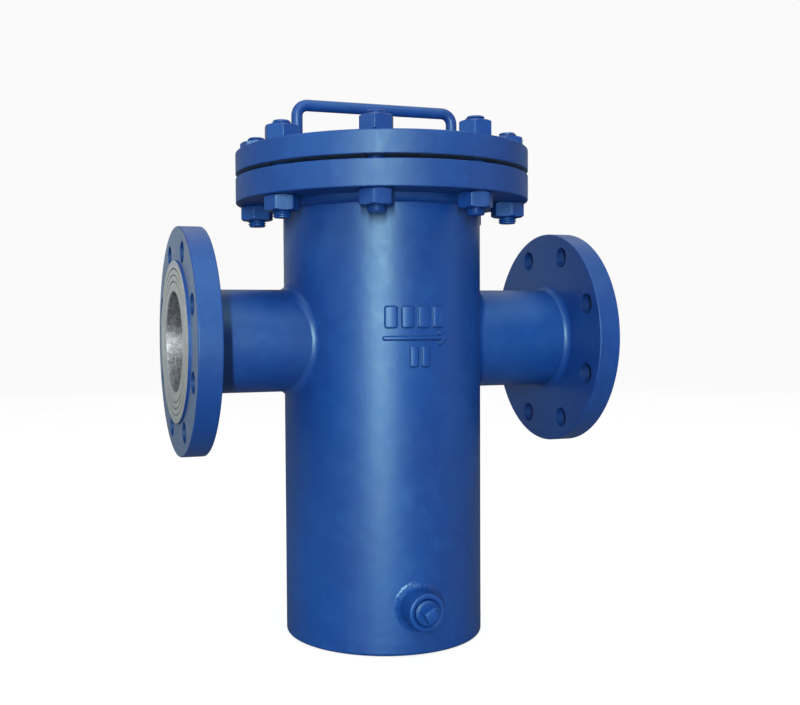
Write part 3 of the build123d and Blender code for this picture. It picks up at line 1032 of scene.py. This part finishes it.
def raised_patch(name, arcs, heights, rise, step):
    """Closed skin on the shell's front over a range of arc and height, lifted by rise(arc, z)."""
    sink = 0.03 * MM
    back = -1.5 * MM
    rows = []
    for arc in evenly(arcs, step):
        skin = [(rise(arc, z) - sink, z) for z in evenly(heights, step)]
        skin += [(back, z) for _, z in reversed(skin)]
        rows.append([polar(shell_radius + lift, arc / shell_radius - pi / 2, z) for lift, z in skin])
    patch = add_mesh(name, *sweep(rows, closed_path=False), paint, 70)
    # Faces close to the shell at the marks' feet take painted shade, which outlines the marks
    foot = shell_radius + 0.5 * MM
    paint_where(patch, foot_shade_paint, lambda centre, normal: hypot(centre.x, centre.y) < foot)
    return patch


def dome(distance, half_width, height):
    """Rounded ridge: full height at its middle, a soft foot at its edge."""
    flat_to = 0.5
    gone_at = 1.3
    share = distance / half_width
    if share >= gone_at:
        return 0.0
    if share <= flat_to:
        return height
    climb = (gone_at - share) / (gone_at - flat_to)
    return height * climb * climb * (3 - 2 * climb)


def from_line(x, y, start, end):
    """Distance of a point from a straight stroke."""
    stroke = Vector(end) - Vector(start)
    arm = Vector((x, y)) - Vector(start)
    share = max(0, min(1, arm.dot(stroke) / stroke.length_squared))
    return (arm - share * stroke).length


def make_marks():
    """Flow arrow as one raised bead, and blank raised pads above and below it."""
    height = 1.8 * MM
    foot = 1.6 * MM
    corner = 2.2 * MM
    half_tall = 9 * MM
    arrow_z = 264.4 * MM
    tip = (25.8 * MM, arrow_z)
    strokes = [((-29.5 * MM, arrow_z), tip)]
    strokes += [((19.2 * MM, arrow_z + rise), tip) for rise in (4.2 * MM, -4.2 * MM)]

    def arrow(arc, z):
        wander = 0.25 * MM * noise.noise(Vector((arc * 300, z * 300, 1)))
        return max(dome(from_line(arc, z, *stroke) + wander, foot, height) for stroke in strokes)

    pads = [(arc * MM, 281.8 * MM, 5.25 * MM) for arc in (-24.3, -10.2, 3.8, 17.8)]
    pads += [(arc * MM, 249.5 * MM, 3.75 * MM) for arc in (-5.0, 5.4)]

    def pad(arc, z):
        best = 0.0
        for centre, middle, half in pads:
            dx = max(0, abs(arc - centre) - half + corner)
            dz = max(0, abs(z - middle) - half_tall + corner)
            crown = height * (1 - 0.3 * min(1, abs(arc - centre) / half) ** 2)
            best = max(best, dome(max(0, hypot(dx, dz) - corner + foot), foot, crown))
        return best

    for name, arcs, heights, rise, step, node_name in (
        ("arrow_bead", (-32.5, 28.8), (257.3, 271.4), arrow, 0.33, "flow_arrow"),
        ("upper_pads", (-33, 26.5), (271.6, 292.5), pad, 0.38, "size_marks"),
        ("lower_pads", (-12, 12.5), (239, 257.1), pad, 0.38, "size_marks"),
    ):
        arcs, heights = [[value * MM for value in pair] for pair in (arcs, heights)]
        patch = raised_patch(name, arcs, heights, rise, step * MM)
        place_piece(patch, node_name)


# ---- drain


def square_head(place, length):
    """Vertices and faces of a square plug head with soft edges, chamfered at its outer end."""
    flat_radius = 5.5 * MM
    corner_radius = 0.8 * MM
    square = []
    for facing in turns(4):
        square += polygon_corner(4, flat_radius, corner_radius, facing + TAU / 8)
    rows = []
    for inset, height in ((0, -0.5 * MM), (0, length - 1.1 * MM), (0.35, length - 0.4 * MM), (1.1, length)):
        ring = [point - point.normalized() * inset * MM for point in square]
        rows.append([place @ (point + UP * height) for point in ring])
    return sweep(rows, closed_path=False)


def make_drain():
    """Half coupling, its weld, and the taper plug with a square head."""
    face = toward(drain_centre, (0, -1, 0))
    back = drain_low.y - drain_high.y
    bore = 10.4 * MM
    mouth = 12.3 * MM
    corners = [(bore, back, 0), (boss_radius, back, 0), (boss_radius, 0, 1.6 * MM)]
    corners += [(mouth, 0, 0.5 * MM), (bore + 0.1 * MM, -2 * MM, 0)]
    boss = lathe("drain_coupling", rounded(corners), paint, 96, face)
    cut(boss, [rod_cutter(shell_inner, 2 * drain_centre.z)])
    weigh_normals(boss)
    place_piece(boss, "drain_boss")

    middle = (drain_centre.x, drain_centre.z)
    saddle = saddle_weld("drain_bead", boss_radius, 6.2 * MM, *middle, -pi / 2, 240, 0.12)
    place_piece(saddle, "drain_boss_weld")

    low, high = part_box("drain_plug")
    head_length = 8 * MM
    major = 10.2 * MM
    depth = 1.1 * MM
    pitch = 1.814 * MM
    end_radius = 9.2 * MM
    taper = 1 / 32
    start = Vector((drain_centre.x, low.y + head_length, drain_centre.z))
    inward = toward(start, (0, 1, 0))
    rod = threaded_rod(inward, major, depth, pitch, high.y - start.y, end_radius, taper, 48)
    turned = toward(start, (0, -1, 0)) @ Matrix.Rotation(radians(28), 4, "Z")
    plug = capped("square_head_plug", [rod, square_head(turned, head_length)], 38)
    place_piece(plug, "drain_plug", "drain_plug")


# ---- basket


def rim_height(x, lift=rim_gap + rim_thickness):
    """Height at x of the plane that lies a distance above the slanted seat."""
    return nozzle_z + x * tan(seat_tilt) + lift / cos(seat_tilt)


def perforated_sheet():
    """Vertices and faces of a bare tube with staggered round holes, up to above the wall's slanted top."""
    hole = 2.5 * MM
    columns = 50
    width = TAU / columns
    row_height = TAU * basket_radius / columns * sin(pi / 3)
    sheet = basket_radius - sheet_thickness
    belt = (139 * MM, 152 * MM)
    around = ((1, 0), (1, 1), (0, 1), (-1, 1), (-1, 0), (-1, -1), (0, -1), (1, -1))
    vertices = []
    faces = []

    def spots(points):
        """Adds these (angle, height) points of the sheet and returns their indices."""
        start = len(vertices)
        vertices.extend(polar(sheet, angle, z) for angle, z in points)
        return list(range(start, len(vertices)))

    for row in range(int((rim_height(basket_radius) - basket_floor) / row_height) + 1):
        z = basket_floor + (row + 0.5) * row_height
        for column in range(columns):
            angle = (column + row % 2 / 2) * width
            if z > rim_height(sheet * cos(angle)) + 2 * row_height:
                continue
            edge = spots((angle + dx * width / 2, z + dz * row_height / 2) for dx, dz in around)
            if row == 0 or belt[0] < z < belt[1]:
                faces.append(tuple(edge))
                continue
            ring = spots((angle + hole / sheet * cos(turn), z + hole * sin(turn)) for turn in turns(16))
            for k in range(8):
                low, high = 2 * k, (2 * k + 2) % 16
                faces.append((edge[k], edge[(k + 1) % 8], ring[high], ring[low + 1], ring[low]))
    return vertices, faces


def make_perforated_wall():
    """Rolled sheet with staggered round holes, cut off along the slant, with real thickness."""
    wall = add_mesh("perforated_wall", *perforated_sheet(), sheet_steel, 60)
    work = bmesh.new()
    work.from_mesh(wall.data)
    normal = Vector((-sin(seat_tilt), 0, cos(seat_tilt)))
    top = Vector((0, 0, rim_height(0, rim_gap + rim_thickness - 0.4 * MM)))
    geometry = work.verts[:] + work.edges[:] + work.faces[:]
    bmesh.ops.bisect_plane(work, geom=geometry, plane_co=top, plane_no=normal, clear_outer=True)
    for face in work.faces:
        middle = face.calc_center_median()
        if face.normal.dot(Vector((middle.x, middle.y, 0))) < 0:
            face.normal_flip()
    work.to_mesh(wall.data)
    work.free()
    thick = wall.modifiers.new("sheet", "SOLIDIFY")
    thick.thickness = sheet_thickness
    thick.offset = 1.0
    settle(wall)
    mark_edges(wall, 50)
    place_piece(wall, "basket_shell", "basket")


def make_mesh_liner():
    """Woven wire inside the perforated wall: round wires passing over and under each other."""
    pitch = 3.6 * MM
    wire = 0.42 * MM
    middle = liner_radius - 0.9 * MM
    uprights = int(TAU * middle / pitch) // 2 * 2
    low = basket_floor + MM
    rings = int((rim_height(middle) - low) / pitch)

    def top(turn):
        return rim_height(middle * cos(turn), rim_gap + 2 * MM)

    def away(point):
        return Vector((point.x, point.y, 0)).normalized()

    paths = []
    for i, turn in enumerate(turns(uprights)):
        path = []
        for j in range(int((top(turn) - low) / pitch)):
            path.append(polar(middle + wire * (1 if (i + j) % 2 else -1), turn, low + j * pitch))
        paths.append(path)
    for j in range(rings):
        z = low + j * pitch
        runs = [[]]
        for i in range(uprights + 1):
            turn = TAU * i / uprights
            if z < top(turn):
                runs[-1].append(polar(middle - wire * (1 if (i + j) % 2 else -1), turn, z))
            else:
                runs.append([])
        paths += [run for run in runs if len(run) > 2]
    tubes = [sweep(round_rows(path, wire, 3, away), closed_path=False) for path in paths]
    liner = bare_mesh("woven_liner", *joined(tubes), wire_steel)
    mark_edges(liner, 80)
    place_piece(liner, "mesh_liner", "basket")


def make_basket_rim():
    """Flat slanted rim ring with softened edges."""
    soft = 0.7 * MM
    bevel = 0.2 * MM
    inner = basket_radius - 0.2 * MM
    top = rim_gap + rim_thickness
    outline = [(inner, rim_gap), (rim_outer - soft, rim_gap), (rim_outer - bevel, rim_gap + bevel)]
    outline += [(rim_outer, rim_gap + soft), (rim_outer, top - soft)]
    outline += [(rim_outer - bevel, top - bevel), (rim_outer - soft, top), (inner, top)]

    def section(turn):
        return [polar(radius, turn, rim_height(radius * cos(turn), lift)) for radius, lift in outline]

    rim = ring_piece("slanted_rim", 200, section, sheet_steel, 40)
    weigh_normals(rim)
    place_piece(rim, "basket_rim", "basket")


def make_basket_bands():
    """Rolled hoops round the basket's middle and foot."""
    inner = basket_radius - 0.1 * MM
    edge = 0.8 * MM
    for node_name, piece_name in (("basket_band", "middle_hoop"), ("basket_foot_band", "foot_hoop")):
        low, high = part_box(node_name)
        corners = [(inner, low.z, 0), (high.x, low.z, edge), (high.x, high.z, edge), (inner, high.z, 0)]
        hoop = lathe(piece_name, rounded(corners), sheet_steel)
        weigh_normals(hoop)
        place_piece(hoop, node_name, "basket")


def make_basket_floor():
    """Round floor with rings of punched holes."""
    low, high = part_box("basket_bottom")
    corners = [(0, low.z, 0), (basket_radius, low.z, 0.5 * MM), (basket_radius, high.z, 0), (0, high.z, 0)]
    disc = lathe("punched_floor", rounded(corners), sheet_steel, 128)
    hole = 2.5 * MM
    ring_spacing = 9.2 * MM
    past = 2 * MM
    length = high.z - low.z + 2 * past
    punches = []
    for ring in range(1, 7):
        for k in range(6 * ring):
            turn = TAU * (k + ring % 2 / 2) / (6 * ring)
            spot = polar(ring_spacing * ring, turn, low.z - past)
            rows = [[spot + polar(hole, way, lift) for way in turns(20)] for lift in (0, length)]
            punches.append(sweep(rows, closed_path=False))
    cut(disc, [add_mesh("punches", *joined(punches), None)])
    place_piece(disc, "basket_bottom", "basket")


def make_basket_handle():
    """Bent bar over the basket's mouth, its feet on the rim."""
    low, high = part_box("basket_handle")
    radius = (high.x - low.x) / 2
    leg = high.y - radius
    top = high.z - radius
    foot = rim_height(0) - MM
    corners = [Vector((0, y, z)) for y, z in ((-leg, foot), (-leg, top), (leg, top), (leg, foot))]
    bar = bar_piece("basket_bail", corners, 16 * MM, 12, radius, bar_steel, 24)
    place_piece(bar, "basket_handle", "basket")


# ---- stage, light and camera

AMBIENT_FRONT = (0.20, 0.22, 0.24, 1)


def make_stage():
    """Plain white floor that shows at full brightness to the camera only."""
    material, look = new_look("floor_pale")
    half = 9
    corners = [(-half, -half, 0), (half, -half, 0), (half, half, 0), (-half, half, 0)]
    floor = add_mesh("floor", corners, [(0, 1, 2, 3)], material)
    floor.location.z = cad_box[0][2] - 0.5 * MM
    seen = look.node("ShaderNodeLightPath").outputs["Is Camera Ray"]
    reach = look.node("ShaderNodeVectorMath", [(0, look.coords)], operation="LENGTH").outputs["Value"]
    grain = look.spread(look.noise(3, 2), 0.3, 0.7, 0.985, 1.0)
    pale = look.layered((0.36, 0.36, 0.365, 1), (reach, 0.5, 3.5, 1, (0.0, 0.0, 0.0, 1)))
    glow = look.math("MULTIPLY", look.spread(reach, 0.3, 3.0, 0.76, 0.963), grain)
    look.shade(Base_Color=look.mix(seen, AMBIENT_FRONT, pale), Roughness=0.9, Specular_IOR_Level=0.0)
    look.shade(Emission_Color=(1, 1, 1, 1), Emission_Strength=look.math("MULTIPLY", seen, glow))


def make_surroundings():
    """Even white behind the object for the camera, and dim light with a brighter back for the rest."""
    world = bpy.data.worlds.new("studio")
    bpy.context.scene.world = world
    world.use_nodes = True
    look = Look(world.node_tree, "Background")
    ray = look.node("ShaderNodeLightPath").outputs
    way = look.place()
    behind = look.spread(way["Y"], -0.15, 0.6, 0, 1)
    backdrop = look.layered((0.72, 0.76, 0.8, 1), (way["Z"], 0.02, 0.4, 1, (0.16, 0.18, 0.2, 1)))
    glossy = look.mix(behind, (0.03, 0.035, 0.04, 1), backdrop)
    ambient = look.mix(behind, AMBIENT_FRONT, (0.30, 0.31, 0.32, 1))
    unseen = look.mix(ray["Is Glossy Ray"], ambient, glossy)
    look.shade(Color=look.mix(ray["Is Camera Ray"], unseen, (0.955, 0.955, 0.955, 1)), Strength=1.0)


def area_light(name, azimuth, elevation, distance, size, power, colour):
    """Softbox round the object's middle; azimuth 0 is straight in front, negative is to the left."""
    aim = Vector((0, 0, 0.26))
    turn, rise = radians(azimuth), radians(elevation)
    spoke = Vector((sin(turn) * cos(rise), -cos(turn) * cos(rise), sin(rise)))
    data = bpy.data.lights.new(name, "AREA")
    data.shape = "RECTANGLE"
    data.size, data.size_y = size
    data.energy = power
    data.color = colour
    lamp = add_object(name, data)
    lamp.location = aim + spoke * distance
    lamp.rotation_euler = (-spoke).to_track_quat("-Z", "Y").to_euler()


def make_lights():
    """Key softbox just left of the camera, one high in front, and weak light from the sides and behind."""
    area_light("key", -22.5, 6.5, 2.4, (0.07, 1.0), 59, (0.96, 1.0, 0.98))
    area_light("high_front", 8, 62, 2.4, (2.6, 2.0), 30, (0.94, 1.0, 0.96))
    area_light("left_fill", -80, 30, 2.4, (1.4, 1.2), 12, (0.9, 1.0, 1.0))
    area_light("right_fill", 62, 12, 2.6, (0.9, 1.6), 5, (1.0, 0.76, 0.80))
    area_light("back", 160, 58, 2.6, (3.0, 3.0), 24, (1, 1, 1))


def make_camera():
    """Camera a little left of the front, level with the nozzles."""
    distance = 0.9356
    height = 0.2787
    around = radians(-20.717)
    yaw, pitch, roll = radians(2.071), radians(-2.294), radians(-0.404)
    bearing = around + yaw
    ahead = Vector((-sin(bearing) * cos(pitch), cos(bearing) * cos(pitch), sin(pitch)))
    right = Vector((cos(bearing), sin(bearing), 0))
    up = right.cross(ahead)
    x_axis = right * cos(roll) + up * sin(roll)
    y_axis = up * cos(roll) - right * sin(roll)
    data = bpy.data.cameras.new("camera")
    data.lens = 46.54
    data.sensor_width = 36
    data.shift_x = 0.0692
    data.shift_y = 0.0126
    data.clip_start = 0.01
    camera = add_object("camera", data)
    turn = Matrix((x_axis, y_axis, -ahead)).transposed().to_4x4()
    place = Vector((distance * sin(around), -distance * cos(around), height))
    camera.matrix_world = Matrix.Translation(place) @ turn
    bpy.context.scene.camera = camera


make_camera()
make_shell()
make_bottom()
make_body_flange()
make_nozzle(-1, "inlet")
make_nozzle(1, "outlet")
repaint("seat_plate", plate_steel)
make_gasket()
make_studs()
make_nuts("lower_nuts", "lower_hex_nuts", "vessel", (12, 47, 5, 33, 22.7, 30.5, 21.6, 50))
make_nuts("upper_nuts", "upper_hex_nuts", "upper_nuts", (41, 18, 56, 9, 52.2, 34.5, 34.1, 27))
make_cover()
make_marks()
make_drain()
repaint("thread_seal_tape", tape_white)
make_perforated_wall()
make_mesh_liner()
make_basket_rim()
make_basket_bands()
make_basket_floor()
make_basket_handle()
make_stage()
make_surroundings()
make_lights()
bpy.context.scene.view_settings.view_transform = "Standard"
